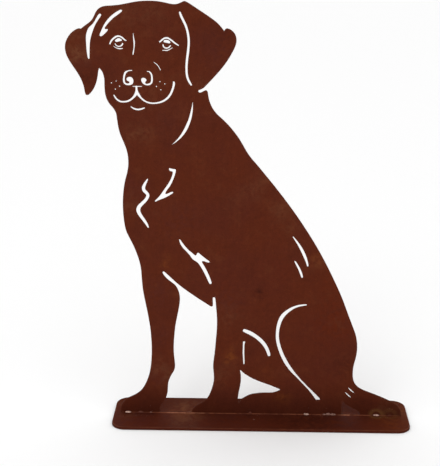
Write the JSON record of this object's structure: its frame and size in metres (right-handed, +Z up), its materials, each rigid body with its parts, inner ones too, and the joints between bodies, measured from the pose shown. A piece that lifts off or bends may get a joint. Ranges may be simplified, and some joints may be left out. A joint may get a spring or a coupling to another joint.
{
  "type": "dog silhouette sculpture",
  "caption": "Flat laser-cut silhouette of a sitting dog in rust-coloured sheet steel, slotted with facial and body lines, standing upright on a flat base plate with rounded corners.",
  "frame": {"origin": "middle of the base plate's underside, which stands on the floor", "axes": "+Z up; the dog's sheet stands in the XZ plane with its decorated front towards -Y, the head to -X and the tail to +X"},
  "size_m": [0.4818, 0.1, 0.6017],
  "materials": {
    "rusty_plate": "satin",
    "rusty_sheet": "satin",
    "weld_metal": "satin"
  },
  "bodies": {
    "root": {"base_plate": "rusty_plate", "dog_sheet": "rusty_sheet", "weld_left_toe": "weld_metal", "weld_left_paw": "weld_metal", "weld_left_heel": "weld_metal", "weld_hind_toe": "weld_metal", "weld_hind_foot": "weld_metal", "weld_heel": "weld_metal", "weld_tail": "weld_metal", "weld_tail_tip": "weld_metal"}
  },
  "joints": []
}
